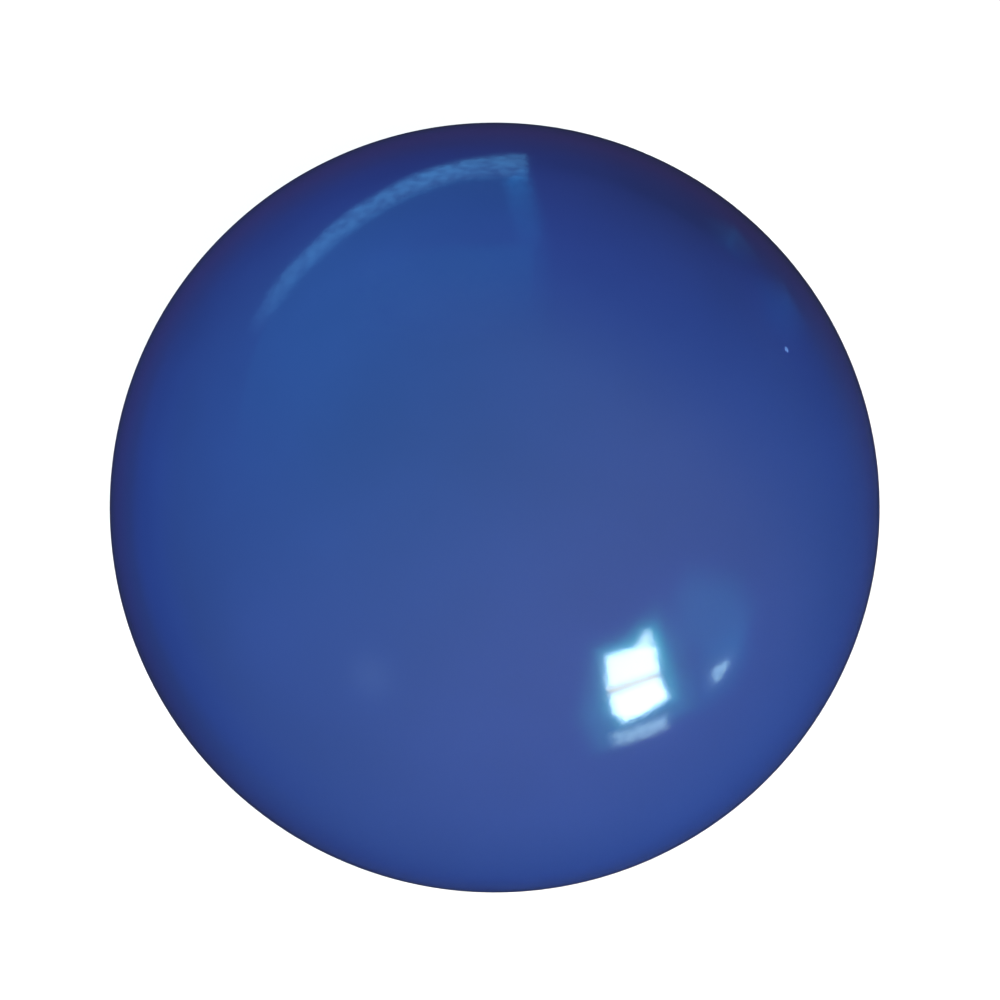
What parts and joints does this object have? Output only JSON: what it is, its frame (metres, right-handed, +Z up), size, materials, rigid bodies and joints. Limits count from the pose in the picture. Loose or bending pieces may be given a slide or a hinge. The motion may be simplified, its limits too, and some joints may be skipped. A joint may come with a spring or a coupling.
{
  "type": "croquet ball",
  "caption": "Full-size glossy blue ball that a mallet strikes through croquet hoops: a composition core cemented inside hard plastic half shells that meet at a stepped seam.",
  "frame": {"origin": "the ball's centre", "axes": "+Z up, normal to the seam plane and through the middle of the upper half shell, the half with the spigot; the ball is a body of revolution about Z, so +X and +Y are any two level directions at right angles"},
  "size_m": [0.092, 0.092, 0.092],
  "materials": {
    "blue_plastic": "gloss",
    "composition": "matte",
    "adhesive": "satin",
    "cement": "satin"
  },
  "bodies": {
    "root": {"core": "composition", "upper_adhesive_film": "adhesive", "lower_adhesive_film": "adhesive", "upper_half_shell": "blue_plastic", "lower_half_shell": "blue_plastic", "seam_cement_ring": "cement"}
  },
  "joints": []
}
